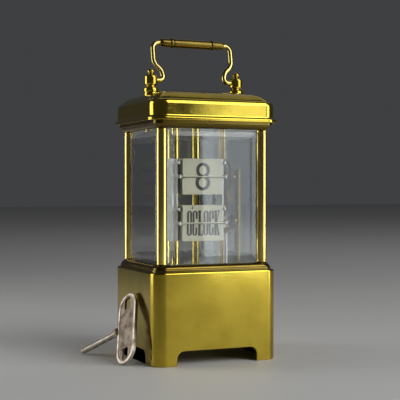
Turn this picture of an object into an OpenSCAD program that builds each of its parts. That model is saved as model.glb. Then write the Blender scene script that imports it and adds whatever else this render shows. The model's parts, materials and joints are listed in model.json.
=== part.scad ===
// Four-glass carriage mantel clock with flip leaves and its winding key.
// X to the right, Y to the back, Z up. Origin on the ground under the middle of the clock and key together.

/* [Case] */
// width of the base and cap
body_w = 70; // [60:1:90]
// depth of the base and cap
body_d = 62; // [54:1:80]
// height of the base box
base_h = 47.5; // [46:0.5:60]
// radius of the upright corners
corner_r = 7; // [5:0.5:10]
// wall of the base and cap
wall = 2.2; // [1.5:0.1:3]
// thickness of the case floor and ceiling plates
rail_t = 3.8; // [3:0.1:5]
// height of the pillars
pillar_h = 69.7; // [60:0.1:90]
// pillar diameter
pillar_d = 5.6; // [4.5:0.1:7]
// how far the lip of the cap stands out
lip_out = 1.2; // [0.5:0.1:2]
// height of the upright band of the cap
band_h = 9.6; // [8:0.1:12]
// rise of the crown above the band
crown_h = 5.6; // [4:0.1:8]
// thickness of the glasses
glass_t = 2.2; // [1.6:0.1:3]
// width of the bevel on each glass
bevel_w = 4.2; // [2:0.1:6]

/* [Feet] */
// half width of the arch in the front
arch_half = 22.5; // [16:0.5:26]
// height of the arches
arch_h = 7.5; // [5:0.5:8]

/* [Handle] */
// distance of each post from the middle
post_x = 25; // [22:0.5:27]
// height of the handle above its pivots
handle_h = 20.8; // [16:0.1:24]
// lean of the handle to the back
handle_lean = 9.5; // [-60:0.5:60]
// diameter of the handle wire
wire_d = 2.6; // [2:0.1:3.2]

/* [Leaves] */
// width of a leaf
leaf_w = 23; // [18:0.5:24]
// height of half a display
leaf_h = 9.5; // [8:0.1:9.6]
// height of the hour display
hour_z = 96.5; // [94:0.1:98]
// height of the minute display
minute_z = 71.8; // [70:0.1:73]

/* [Key] */
// length of the bow
bow_l = 39; // [34:0.5:44]
// width of the bow
bow_w = 15.5; // [12:0.5:18]
// length of the pipe with its collar
key_l = 33.5; // [28:0.5:40]

/* [Hidden] */
$fn = 48;
e = 0.01;
floor_z = base_h;
pil_z = base_h + rail_t;
ceil_z = pil_z + pillar_h;
cap_z = ceil_z + rail_t;
band_z = cap_z + 1.9;
crown_z = band_z + band_h;
px = body_w / 2 - 3.8 - pillar_d / 2;
py = body_d / 2 - 3.8 - pillar_d / 2;
pivot_z = crown_z + crown_h + 6;
ax = -1.1;
cx = 18.4;
tx = 12.4;
ty = 13.09;
ex = 1.524;
ey = 18.161;
lx = -5.6;
ly = 19.3;
bx = -12.7;
by = 20.2;
sx = 29;
sy = 18;
inter_z = (hour_z + minute_z) / 2;
inter_y = sqrt(pow(12.4, 2) - pow((hour_z - minute_z) / 2, 2));
key_pos = [-41.75, -9.3, 17.85];
shift_x = 9.7;

// ---------- helpers ----------
module place() translate([shift_x, 0, 0]) children();
module rr(w, d, r) {
  square([w - 2 * r, d], center = true);
  square([w, d - 2 * r], center = true);
  for (i = [-1, 1], j = [-1, 1]) translate([i * (w / 2 - r), j * (d / 2 - r)]) circle(r);
}
module slab(w, d, r, z, h) translate([0, 0, z]) linear_extrude(h) rr(w, d, r);
module rod(x, y, z, r, h) translate([x, y, z]) cylinder(r = r, h = h);
module rod_x(x, y, z, r, h) translate([x, y, z]) rotate([0, 90, 0]) cylinder(r = r, h = h);
module four(x, y) for (i = [-1, 1], j = [-1, 1]) translate([i * x, j * y, 0]) children();

// involute flank point at radius r on base circle b, turned back by a
function inv(t) = tan(t) * 180 / PI - t;
function flank(r, b) = r <= b ? 0 : inv(acos(b / r));
function tooth(n, m, add, ded, gap) =
  let (
    rp = n * m / 2, rb = rp * cos(20), ra = rp + add * m, rd = rp - ded * m,
    half = 90 / n - gap / rp * 90 / PI, at = half + flank(rp, rb),
    rs = [for (k = [0:4]) max(rd, rb) + (ra - max(rd, rb)) * k / 4]
  )
  concat(
    [[rd, -at]], [for (r = rs) [r, -(at - flank(r, rb))]],
    [for (k = [4:-1:0]) [rs[k], at - flank(rs[k], rb)]], [[rd, at]]
  );
module gear2d(n, m, add = 0.6, ded = 1.2, gap = 0.09) {
  t = tooth(n, m, add, ded, gap);
  polygon([for (i = [0:n - 1]) for (p = t) p[0] * [cos(i * 360 / n + p[1]), sin(i * 360 / n + p[1])]]);
}
module gear(n, m, z, h, turn, add = 0.6) translate([0, 0, z]) rotate([0, 0, turn])
  linear_extrude(h) gear2d(n, m, add);
module spokes2d(r_in, r_out, count, w) {
  difference() {
    circle(r_out);
    circle(r_in);
    for (i = [0:count - 1]) rotate(i * 360 / count) translate([0, -w / 2]) square([r_out + 1, w]);
  }
}
// a spiral strip as one closed outline
module spiral2d(r0, r1, turns, w) {
  n = turns * 24;
  a = [for (i = [0:n]) let (r = r0 + (r1 - r0) * i / n) r * [cos(i * 15), sin(i * 15)]];
  b = [for (i = [n:-1:0]) let (r = r0 + (r1 - r0) * i / n + w) r * [cos(i * 15), sin(i * 15)]];
  polygon(concat(a, b));
}

// ---------- case ----------
module arch2d(half, h) {
  translate([-half, -1]) square([2 * half, h - 3]);
  translate([-half + 4, -1]) square([2 * half - 8, h + 1]);
  for (i = [-1, 1]) translate([i * (half - 4), h - 4]) circle(4);
}
module base_shell() color("#b59a45") difference() {
  union() {
    difference() {
      slab(body_w, body_d, corner_r, 0, base_h);
      slab(body_w - 2 * wall, body_d - 2 * wall, corner_r - wall, -1, base_h - 1);
      slab(48, 40, 4, base_h - 3, 4);
    }
    intersection() {
      slab(body_w - 1, body_d - 1, corner_r - 0.5, 10.2, 9.8);
      four(29.5, 25.6) translate([-5.1, -4.8, 10]) cube([10.2, 9.6, 11]);
    }
  }
  translate([0, body_d, 0]) rotate([90, 0, 0]) linear_extrude(2 * body_d) arch2d(arch_half, arch_h);
  translate([-body_w, 0, 0]) rotate([90, 0, 90]) linear_extrude(2 * body_w) arch2d(arch_half - 4, arch_h);
  four(28, 24.4) rod(0, 0, 9, 1.05, 9);
  four(px, py) rod(0, 0, base_h - 3, 1.6, 4);
  four(sx, sy) rod(0, 0, base_h - 3, 1.2, 4);
}
module base_bottom_cover() color("#8d7a3c") difference() {
  slab(body_w - 2 * wall - 0.4, body_d - 2 * wall - 0.4, corner_r - wall - 0.2, 8.6, 1.6);
  rod(ax, 0, 8, 4, 3);
  rod(cx, 0, 8, 1.9, 3);
  four(28, 24.4) rod(0, 0, 8, 1.1, 3);
}
module base_cover_screws() color("#a08b4a") four(28, 24.4) difference() {
  union() {
    rod(0, 0, 7.2, 1.9, 1.4);
    rod(0, 0, 8.5, 1, 7.5);
  }
  translate([-2.5, -0.25, 7]) cube([5, 0.5, 0.7]);
}
module glass_slots(z) {
  for (j = [-1, 1]) translate([-px + 1.85, j * py - glass_t / 2 - 0.05, z]) cube([2 * px - 3.7, glass_t + 0.1, 0.7]);
  for (i = [-1, 1]) translate([i * px - glass_t / 2 - 0.05, -py + 1.85, z]) cube([glass_t + 0.1, 2 * py - 3.7, 0.7]);
}
module case_floor() color("#b59a45") difference() {
  slab(body_w - 3, body_d - 3, corner_r - 1, floor_z, rail_t);
  four(px, py) rod(0, 0, floor_z - 1, 1.6, 6);
  four(sx, sy) rod(0, 0, floor_z - 1, 2.4, 3.1);
  rod(cx, 0, floor_z - 1, 1.26, 6);
  for (i = [-1, 1]) rod(i * 6.2, 12.7, floor_z - 1, 1.5, 6);
  translate([24.9, -2.6, pil_z - 1.5]) cube([1.4, 5.2, 2]);
  glass_slots(pil_z - 0.6);
}
module case_ceiling() color("#b59a45") difference() {
  slab(body_w - 3, body_d - 3, corner_r - 1, ceil_z, rail_t);
  four(px, py) rod(0, 0, ceil_z - 1, 1.6, 6);
  for (i = [-1, 1]) rod(i * 6.2, 12.7, ceil_z - 1, 1.5, 6);
  for (i = [-1, 1]) rod(i * post_x, 0, ceil_z - 1, 1.6, 6);
  glass_slots(ceil_z - 0.1);
}
module crown_solid(w, d, r, z0, z1, z2) {
  hull() {
    slab(w, d, r, z0, 0.4);
    slab(w * 0.86, d * 0.84, r, z0 + (z1 - z0) * 0.72, 0.2);
  }
  hull() {
    slab(w * 0.86, d * 0.84, r, z0 + (z1 - z0) * 0.72, 0.2);
    slab(w * 0.62, d * 0.56, r, z1 - 0.2, 0.2);
  }
  hull() {
    slab(w * 0.62, d * 0.56, r, z1 - 0.2, 0.2);
    slab(w * 0.3, d * 0.22, r - 1, z2 - 0.1, 0.1);
  }
}
module cap_shell() color("#b59a45") difference() {
  union() {
    slab(body_w + 2 * lip_out, body_d + 2 * lip_out, corner_r + lip_out, cap_z, 1.9);
    slab(body_w, body_d, corner_r, band_z - 0.1, band_h - 2.6);
    hull() {
      slab(body_w, body_d, corner_r, band_z + band_h - 3, 0.4);
      slab(body_w - 0.9, body_d - 0.9, corner_r - 0.4, band_z + band_h - 1.3, 0.2);
      slab(body_w - 2.6, body_d - 2.6, corner_r - 1, band_z + band_h - 0.2, 0.2);
    }
    for (i = [-1, 1]) rod(i * post_x, 0, crown_z + crown_h - 4, 4.15, 3.1);
    crown_solid(body_w - 3.4, body_d - 3.4, corner_r - 1.4, crown_z - 0.4, crown_z + crown_h - 0.7, crown_z + crown_h);
  }
  difference() {
    union() {
      slab(body_w - 2 * wall, body_d - 2 * wall, corner_r - wall, cap_z - 1, band_h + 1.4);
      hull() {
        slab(body_w - 2 * wall - 3, body_d - 2 * wall - 3, corner_r - wall, cap_z + band_h, 0.5);
        slab(body_w * 0.74, body_d * 0.66, corner_r - wall, crown_z + crown_h * 0.42, 0.5);
      }
    }
    for (i = [-1, 1]) rod(i * post_x, 0, cap_z - 2, 4, crown_h + band_h + 6);
  }
  for (i = [-1, 1]) {
    rod(i * post_x, 0, cap_z - 1, 1.6, 7);
    rod(i * post_x, 0, crown_z + crown_h - 8.5, 1.55, 12);
    rod(i * post_x, 0, crown_z + crown_h - 0.9, 4.1, 3);
  }
}
module pillar(i, j) color("#cdb45a") difference() {
  rod(i * px, j * py, pil_z, pillar_d / 2, pillar_h);
  rod(i * px, j * py, pil_z - 1, 1.55, 9);
  rod(i * px, j * py, ceil_z - 8, 1.55, 9);
  translate([i * (px - pillar_d / 2) - 1.1, j * py - glass_t / 2 - 0.05, pil_z - 1])
    cube([2.2, glass_t + 0.1, pillar_h + 2]);
  translate([i * px - glass_t / 2 - 0.05, j * (py - pillar_d / 2) - 1.1, pil_z - 1])
    cube([glass_t + 0.1, 2.2, pillar_h + 2]);
}
module case_screws() color("#a08b4a") {
  four(px, py) {
    rod(0, 0, base_h - 4, 2.6, 2);
    rod(0, 0, base_h - 2.1, 1.5, 12.8);
    rod(0, 0, ceil_z - 7, 1.5, 10.9);
    rod(0, 0, cap_z, 2.6, 1.8);
  }
  for (i = [-1, 1]) {
    rod(i * post_x, 0, ceil_z - 1.4, 2.15, 1.4);
    rod(i * post_x, 0, ceil_z - 0.1, 1.5, 9);
  }
}
// a pane in the XZ plane, its bevelled face to -Y
module pane(w, h) {
  translate([-w / 2, -glass_t / 2 + 0.9, -h / 2]) cube([w, glass_t - 0.9, h]);
  hull() {
    translate([-w / 2, -glass_t / 2 + 0.9, -h / 2]) cube([w, e, h]);
    translate([-w / 2 + bevel_w, -glass_t / 2, -h / 2 + bevel_w]) cube([w - 2 * bevel_w, e, h - 2 * bevel_w]);
  }
}
glass_h = pillar_h + 0.9;
glass_z = pil_z + pillar_h / 2;
module glass_front() color("#dfe8e4", 0.3) translate([0, -py, glass_z]) pane(2 * px - 3.8, glass_h);
module glass_back() color("#dfe8e4", 0.3) translate([0, py, glass_z]) rotate([0, 0, 180]) pane(2 * px - 3.8, glass_h);
module glass_left() color("#dfe8e4", 0.3) translate([-px, 0, glass_z]) rotate([0, 0, -90]) pane(2 * py - 3.8, glass_h);
module glass_right() color("#dfe8e4", 0.3) translate([px, 0, glass_z]) rotate([0, 0, 90]) pane(2 * py - 3.8, glass_h);

// ---------- handle ----------
module handle_post(i) color("#c2a84e") {
  z = crown_z + crown_h - 0.85;
  difference() {
    translate([i * post_x, 0, z]) rotate_extrude() polygon([
      [0, -6.5], [1.5, -6.5], [1.5, 0], [3.8, 0], [3.9, 0.6], [3.9, 2.2], [3.5, 2.8], [2.7, 3.2], [2.7, 3.7],
      [3.3, 4.1], [3.5, 4.9], [3.5, 8.3], [3.2, 9.1], [2.4, 9.6], [1.4, 9.8], [1.4, 10.2], [1.8, 10.7],
      [1.9, 11.3], [1.5, 12.1], [0.8, 12.6], [0, 12.8]
    ]);
    rod_x(i > 0 ? i * post_x - 5 : i * post_x - 1.6, 0, pivot_z, wire_d / 2 + 0.06, 6.6);
  }
}
// one arm of the handle in the XZ plane, the pivot at the origin height, x measured from the middle
module bend(x, z, r, from, to) translate([x, 0, z]) rotate([90, 0, 0]) rotate([0, 0, from])
  rotate_extrude(angle = to - from) translate([r, 0]) circle(wire_d / 2);
module arm_shape() {
  top = handle_h;
  rise = 9.9;
  out = 4.8;
  r = (rise * rise + out * out) / (4 * out);
  s = asin(rise / (2 * r));
  rod_x(20.2, 0, 0, wire_d / 2, post_x + 1.2 - 20.2);
  bend(20.2, 2.2, 2.2, 180, 270);
  bend(18 + r, 2.2, r, 180 - s, 180);
  bend(18 + out - r, 2.2 + rise, r, -s, 0);
  rod(18 + out, 0, 2.2 + rise, wire_d / 2, top - 3.6 - 2.2 - rise);
  bend(14.4 + out, top - 3.6, 3.6, 0, 90);
  rod_x(17.4, 0, top, wire_d / 2, out - 3);
}
module handle_pose() translate([0, 0, pivot_z]) rotate([-handle_lean, 0, 0]) children();
module handle_arm_left() color("#c2a84e") handle_pose() mirror([1, 0, 0]) arm_shape();
module handle_arm_right() color("#c2a84e") handle_pose() arm_shape();
module handle_grip() color("#c2a84e") handle_pose() difference() {
  translate([-18.6, 0, handle_h]) rotate([0, 90, 0]) rotate_extrude() polygon([
    [0, 0], [1.6, 0], [1.9, 0.2], [2.1, 0.7], [2.25, 1.6], [2.35, 3.6], [2.4, 5.6], [2.65, 5.85], [2.8, 6.3],
    [2.8, 7.1], [2.6, 7.5], [2.4, 7.7], [2.5, 8.2], [2.5, 29], [2.4, 29.5], [2.6, 29.7], [2.8, 30.1],
    [2.8, 30.9], [2.65, 31.35], [2.4, 31.6], [2.35, 33.6], [2.25, 35.6], [2.1, 36.5], [1.9, 37], [1.6, 37.2], [0, 37.2]
  ]);
  for (i = [-1, 1]) rod_x(i * 18 - 0.8, 0, handle_h, wire_d / 2 + 0.005, 1.6);
}

// ---------- movement ----------
module plate2d() {
  square([63, 40.8], center = true);
  translate([-24, 18]) square([48, 8]);
}
module pivots(r) {
  rod(cx, 0, 10, 1.26, 30);
  rod(tx, ty, 10, 0.55, 30);
  rod(ex, ey, 10, 0.55, 30);
  rod(lx, ly, 10, 0.55, 30);
  rod(bx, by, 10, 0.55, 30);
  rod(ax, 0, 10, r, 30);
}
module movement_plate_lower() color("#b9a050") difference() {
  translate([0, 0, 13]) linear_extrude(1.6) plate2d();
  pivots(1.86);
  four(sx, sy) rod(0, 0, 12, 1.1, 4);
  rod(ax - 10.4, 0, 12, 0.8, 4);
}
module movement_plate_upper() color("#b9a050") difference() {
  translate([0, 0, 36]) linear_extrude(1.6) plate2d();
  pivots(1.26);
  four(sx, sy) rod(0, 0, 35, 1.2, 4);
}
module movement_pillars() color("#c9b264") four(sx, sy) difference() {
  rod(0, 0, 14.6, 2.5, 21.4);
  rod(0, 0, 14, 1.05, 8.6);
  rod(0, 0, 28, 1.05, 9);
}
module movement_spacers() color("#c9b264") four(sx, sy) difference() {
  rod(0, 0, 37.6, 2.5, base_h - 2 - 37.6);
  rod(0, 0, 37, 1.3, 10);
}
module movement_screws() color("#6d7079") four(sx, sy) {
  difference() {
    rod(0, 0, 11.6, 2.2, 1.4);
    translate([-3, -0.3, 11.4]) cube([6, 0.6, 0.8]);
  }
  rod(0, 0, 12.9, 1, 8.7);
  rod(0, 0, 29, 1, base_h - 28.9);
  difference() {
    rod(0, 0, base_h, 2.2, 1.8);
    translate([-3, -0.3, base_h + 1.1]) cube([6, 0.6, 0.8]);
  }
}
module barrel() color("#c0a64c") translate([ax, 0, 0]) difference() {
  union() {
    rod(0, 0, 16, 15.4, 9);
    gear(66, 0.5, 24, 4, 0, 0.6);
  }
  rod(0, 0, 17.2, 14.3, 12);
  rod(0, 0, 15, 1.86, 4);
}
module barrel_cover() color("#c8b05c") difference() {
  rod(ax, 0, 26.8, 14.25, 1.2);
  rod(ax, 0, 26, 1.86, 3);
}
module mainspring() color("#5b6470") translate([ax, 0, 17.5]) linear_extrude(8.8) spiral2d(4.2, 13.5, 9, 0.4);
module winding_arbor() color("#8a8f98") difference() {
  union() {
    rod(ax, 0, 10, 1.8, 7.4);
    rod(ax, 0, 17.4, 3.2, 9.2);
    rod(ax, 0, 26.6, 1.8, 9);
    rod(ax, 0, 35.6, 1.2, 2.4);
    translate([ax - 0.95, -0.95, 4.4]) cube([1.9, 1.9, 6]);
  }
}
module ratchet_wheel() color("#8a8f98") difference() {
  translate([ax, 0, 11.2]) linear_extrude(1.2)
    polygon([for (i = [0:23]) for (k = [0, 1]) (k == 0 ? 7.4 : 6.5) * [cos(i * 15 + k * 1.5), sin(i * 15 + k * 1.5)]]);
  rod(ax, 0, 10, 1.8, 4);
}
module click() color("#8a8f98") {
  rod(ax - 10.4, 0, 11.1, 0.74, 4.6);
  difference() {
    translate([0, 0, 11.3]) linear_extrude(1) union() {
      translate([ax - 10.4, 0]) circle(1.5);
      polygon([[ax - 10.4, 1.3], [ax - 9.2, 0.9], [ax - 8.05, -4.0], [ax - 9.5, -4.6], [ax - 11.6, -0.7]]);
    }
    rod(ax, 0, 11, 7.65, 3);
  }
}
module click_spring() color("#5b6470") translate([ax - 12.15, -5.4, 0]) {
  translate([0, 0, 11.4]) linear_extrude(0.8) polygon([
    [-1.4, -3.2], [1.6, -3.2], [1.6, -1.4], [0.3, -1.2], [0.2, 1.6], [0.6, 3.6], [0.35, 3.7], [-0.15, 1.6], [-0.2, -1.2], [-1.4, -1.4]
  ]);
  rod(0, -2.3, 11.4, 1, 1.6);
}
module centre_arbor() color("#9a9fa8") {
  rod(cx, 0, 4.2, 1.2, 63.2);
  gear_at(cx, 0, 12, 0.5, 23, 5.6, 195, 0.8);
}
module gear_at(x, y, n, m, z, h, turn, add) translate([x, y, 0]) gear(n, m, z, h, turn, add);
centre_turn = atan2(ty, tx - cx);
third_turn = atan2(ey - ty, ex - tx);
module wheel(x, y, n, m, z, h, turn, hub, rim, bore) difference() {
  gear_at(x, y, n, m, z, h, turn, 0.6);
  translate([x, y, z - 1]) linear_extrude(h + 2) spokes2d(hub, n * m / 2 - rim, 5, 1.3);
  rod(x, y, z - 1, bore, h + 2);
}
module centre_wheel() color("#c9b264") wheel(cx, 0, 84, 0.3, 31, 0.8, centre_turn, 3, 1.8, 1.2);
module third_wheel() color("#c9b264") {
  wheel(tx, ty, 84, 0.25, 29.2, 0.8, third_turn, 2.4, 1.6, 0.9);
  rod(tx, ty, 14.8, 0.9, 21);
  rod(tx, ty, 12.9, 0.5, 24.8);
  gear_at(tx, ty, 12, 0.3, 30.3, 2.6, centre_turn + 195, 0.8);
}
module escape_wheel() color("#c9b264") {
  translate([ex, ey, 32.8]) linear_extrude(0.7) difference() {
    polygon([for (i = [0:14]) for (k = [[4.9, -4], [6, 0], [5.9, 1.6], [4.9, 5]])
      k[0] * [cos(i * 24 + k[1]), sin(i * 24 + k[1])]]);
    spokes2d(1.8, 4.3, 4, 0.9);
  }
  rod(ex, ey, 14.8, 0.8, 21);
  rod(ex, ey, 12.9, 0.5, 24.8);
  gear_at(ex, ey, 12, 0.25, 28.8, 1.6, third_turn + 195, 0.8);
}
module pallet_lever() color("#8a8f98") {
  rod(lx, ly, 14.8, 0.6, 21);
  rod(lx, ly, 12.9, 0.5, 24.8);
  translate([lx, ly, 32.8]) rotate([0, 0, atan2(by - ly, bx - lx)]) linear_extrude(0.6) {
    circle(1.1);
    translate([0, -0.45]) square([6, 0.9]);
    translate([5.2, -1.1]) square([1.15, 0.7]);
    translate([5.2, 0.4]) square([1.15, 0.7]);
    polygon([[-0.6, -4.1], [0.9, -3.9], [1, 3.9], [-0.5, 4.1], [-0.9, 3.3], [-0.2, 0], [-0.9, -3.3]]);
  }
}
module balance_wheel() color("#c9b264") {
  translate([bx, by, 30.4]) linear_extrude(0.9) difference() {
    circle(6.4);
    spokes2d(1.2, 5.4, 3, 0.9);
  }
  rod(bx, by, 14.8, 0.6, 21);
  rod(bx, by, 12.9, 0.5, 24.8);
  rod(bx, by, 33.8, 1.5, 0.5);
}
module hairspring() color("#6d7c96") translate([bx, by, 34.6]) linear_extrude(0.5) {
  difference() {
    circle(1.3);
    circle(0.6);
  }
  spiral2d(1.15, 4.6, 8, 0.14);
}
module setting_knob() color("#c2a84e") difference() {
  translate([cx, 0, 4]) linear_extrude(3.4) gear2d(30, 0.3, 0.5, 0.5, 0);
  rod(cx, 0, 3, 1.2, 8);
}

// ---------- display ----------
module bevel(turn) difference() {
  rotate([0, 0, turn]) linear_extrude(1, scale = 0.75) gear2d(20, 0.4, 0.5, 1.2, 0.12);
  translate([0, 0, -1]) cylinder(r = 1.0, h = 3);
}
module drive_bevel() color("#c9b264") translate([cx, 0, minute_z - 4]) {
  difference() {
    union() {
      bevel(0);
      translate([0, 0, -2]) cylinder(r = 2.6, h = 2.05);
    }
    translate([0, 0, -3]) cylinder(r = 1.2, h = 2.61);
    translate([0, 0, -1]) cylinder(r = 1.2, h = 0.61);
  }
}
module minute_bevel() color("#c9b264") translate([cx + 4, 0, minute_z]) rotate([0, -90, 0]) {
  bevel(9);
  difference() {
    translate([0, 0, -1.8]) cylinder(r = 2.6, h = 1.85);
    translate([0, 0, -3]) cylinder(r = 1, h = 5);
  }
}
module display_posts() color("#cdb45a") for (i = [-1, 1]) {
  rod(i * 6.2, 12.7, pil_z, 2.1, pillar_h);
  rod(i * 6.2, 12.7, floor_z + 0.2, 1.45, rail_t);
  rod(i * 6.2, 12.7, ceil_z - 0.1, 1.45, rail_t - 0.2);
}
module display_bridges() color("#b9a050") for (z = [minute_z, hour_z]) difference() {
  translate([-12.9, 9.9, z - 2.4]) cube([25.8, 5.6, 4.8]);
  for (i = [-1, 1]) rod(i * 6.2, 12.7, z - 4, 2.11, 8);
}
module side2d() {
  for (z = [minute_z, hour_z]) {
    translate([-3, z - 9]) square([6, 18]);
    translate([-3, z - 2.4]) square([18.5, 4.8]);
    translate([-12.3, z - 0.9]) square([12, 1.8]);
    translate([-10.7, z + 6.6]) square([10, 1.6]);
  }
  translate([-7.5, minute_z - 9.5]) square([9, hour_z - minute_z + 19]);
}
module side_plate(x) difference() {
  translate([x, 0, 0]) rotate([90, 0, 90]) linear_extrude(0.8) side2d();
  for (z = [minute_z, hour_z]) {
    rod_x(x - 1, 0, z, 1.06, 3);
    rod_x(x - 1, -11.05, z, 0.46, 3);
  }
  if (x > 0) rod_x(x - 1, inter_y, inter_z, 0.96, 3);
}
module side_plate_left() color("#b9a050") side_plate(-13.7);
module side_plate_right() color("#b9a050") side_plate(12.9);
module outer_bar() color("#b9a050") difference() {
  translate([25, -2.5, pil_z - 1.4]) cube([1.2, 5, hour_z + 4 - pil_z + 1.4]);
  for (z = [minute_z, hour_z]) rod_x(24, 0, z, 1.06, 3);
  rod_x(24, inter_y, inter_z, 0.96, 3);
}
module drum(z) {
  rod_x(-14.2, 0, z, 1, 40);
  for (i = [-1, 1]) rod_x(i * 9.4 - 0.3, 0, z, 4.1, 0.6);
  for (a = [0:30:330]) rotate_about_x(z, a) rod_x(-9.4, 3.5, z, 0.25, 18.8);
}
module rotate_about_x(z, a) translate([0, 0, z]) rotate([a, 0, 0]) translate([0, 0, -z]) children();
module gear_x(x, y, z, n, m, h, turn, add) translate([x, y, z]) rotate([0, 90, 0]) rotate([0, 0, turn])
  linear_extrude(h) gear2d(n, m, add);
// angle in the gear's own plane of the direction (y, z)
function dir_x(y, z) = atan2(y, -z);
up_turn = dir_x(inter_y, inter_z - minute_z);
up2_turn = dir_x(-inter_y, hour_z - inter_z);
module minute_arbor() color("#9a9fa8") {
  drum(minute_z);
  gear_x(15, 0, minute_z, 12, 24.8 / 60, 1.8, up_turn, 0.8);
}
module intermediate_wheel() color("#c9b264") {
  difference() {
    gear_x(15.4, inter_y, inter_z, 48, 24.8 / 60, 1, up_turn + 180 + 3.75, 0.6);
    translate([15, inter_y, inter_z]) rotate([0, 90, 0]) linear_extrude(2) spokes2d(4, 8, 4, 1.6);
  }
  gear_x(16.4, inter_y, inter_z, 12, 24.8 / 48, 2.8, up2_turn, 0.8);
  rod_x(12.7, inter_y, inter_z, 0.9, 13.7);
}
module hour_arbor() color("#9a9fa8") drum(hour_z);
module hour_wheel() color("#c9b264") difference() {
  gear_x(17.6, 0, hour_z, 36, 24.8 / 48, 1, up2_turn + 180 + 5, 0.6);
  translate([17, 0, hour_z]) rotate([0, 90, 0]) linear_extrude(2) spokes2d(3.4, 7.4, 4, 1.6);
  rod_x(17, 0, hour_z, 1, 3);
}
module stack(z, count, t) color("#d9d2b4") for (k = [1:count]) {
  y = -10.3 + 10.2 * k / count;
  low = abs(y) < 4.5 ? sqrt(4.5 * 4.5 - y * y) : 0.25;
  for (j = [0, 1]) translate([0, 0, z]) mirror([0, 0, j])
    translate([-leaf_w / 2, y, low]) cube([leaf_w, t, leaf_h - low - 0.1]);
}
module hour_leaf_stack() stack(hour_z, 6, 0.5);
module minute_leaf_stack() stack(minute_z, 24, 0.24);
module leaf_upper(z) color("#e6dfc4") {
  translate([-leaf_w / 2, -10.9, z + 0.2]) cube([leaf_w, 0.45, leaf_h - 0.2]);
  rod_x(-13.5, -11.05, z, 0.4, 27);
  for (i = [-1, 1]) translate([i * 10.6 - 0.5, -11.05, z - 0.1]) cube([1, 0.6, 0.5]);
}
module leaf_lower(z) color("#e6dfc4") translate([-leaf_w / 2, -10.55, z - leaf_h]) cube([leaf_w, 0.45, leaf_h - 0.6]);
module hour_leaf_upper() leaf_upper(hour_z);
module minute_leaf_upper() leaf_upper(minute_z);
module hour_leaf_lower() leaf_lower(hour_z);
module minute_leaf_lower() leaf_lower(minute_z);
module leaf_rest_wires() color("#9a9fa8") for (z = [minute_z, hour_z]) rod_x(-12.9, -10.15, z + 7.4, 0.12, 25.8);

// ---------- key ----------
module key_pose() translate(key_pos) rotate([0, 0, 109.2]) rotate([0, 23.3, 0]) rotate([21.2, 0, 0]) children();
module bow2d(l, w) {
  square([w, l - w], center = true);
  for (i = [-1, 1]) translate([0, i * (l - w) / 2]) circle(w / 2);
}
module key_bow() color("#b5aa96") key_pose() rotate([90, 0, 0]) difference() {
  union() {
    translate([0, 0, -0.6]) linear_extrude(1.2) bow2d(bow_l, bow_w);
    translate([0, 0, -1]) linear_extrude(2) difference() {
      bow2d(bow_l, bow_w);
      bow2d(bow_l - 3.4, bow_w - 3.4);
    }
    translate([bow_w / 2 - 0.8, 0, 0]) rotate([0, 90, 0]) cylinder(r = 2.6, h = 3);
  }
  for (i = [-1, 1]) translate([0, i * (bow_l / 2 - 5.6), -2]) linear_extrude(4) bow2d(5.6, 5);
  translate([bow_w / 2 + 0.2, 0, 0]) rotate([0, 90, 0]) cylinder(r = 1.31, h = 3);
}
module key_pipe() color("#b5aa96") key_pose() translate([bow_w / 2, 0, 0]) rotate([0, 90, 0]) difference() {
  union() {
    translate([0, 0, 0.3]) cylinder(r = 1.3, h = 5);
    translate([0, 0, 3.4]) cylinder(r = 1.55, h = key_l - 3.4);
  }
  translate([-1, -1, key_l - 6]) cube([2, 2, 7]);
}

place() base_shell();
place() base_bottom_cover();
place() base_cover_screws();
place() case_floor();
place() case_ceiling();
place() cap_shell();
place() pillar(-1, -1);  // pillar_front_left
place() pillar(1, -1);  // pillar_front_right
place() pillar(-1, 1);  // pillar_back_left
place() pillar(1, 1);  // pillar_back_right
place() case_screws();
place() glass_front();
place() glass_back();
place() glass_left();
place() glass_right();
place() handle_post(-1);  // handle_post_left
place() handle_post(1);  // handle_post_right
place() handle_arm_left();
place() handle_arm_right();
place() handle_grip();
place() movement_plate_lower();
place() movement_plate_upper();
place() movement_pillars();
place() movement_spacers();
place() movement_screws();
place() barrel();
place() barrel_cover();
place() mainspring();
place() winding_arbor();
place() ratchet_wheel();
place() click();
place() click_spring();
place() centre_arbor();
place() centre_wheel();
place() third_wheel();
place() escape_wheel();
place() pallet_lever();
place() balance_wheel();
place() hairspring();
place() setting_knob();
place() drive_bevel();
place() display_posts();
place() display_bridges();
place() side_plate_left();
place() side_plate_right();
place() outer_bar();
place() minute_arbor();
place() minute_bevel();
place() intermediate_wheel();
place() hour_arbor();
place() hour_wheel();
place() hour_leaf_stack();
place() minute_leaf_stack();
place() hour_leaf_upper();
place() hour_leaf_lower();
place() minute_leaf_upper();
place() minute_leaf_lower();
place() leaf_rest_wires();
place() key_bow();
place() key_pipe();
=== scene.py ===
import json
from math import asin, cos, hypot, pi, radians, sin, tau

import bmesh
import bpy
from mathutils import Matrix, Vector


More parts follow.
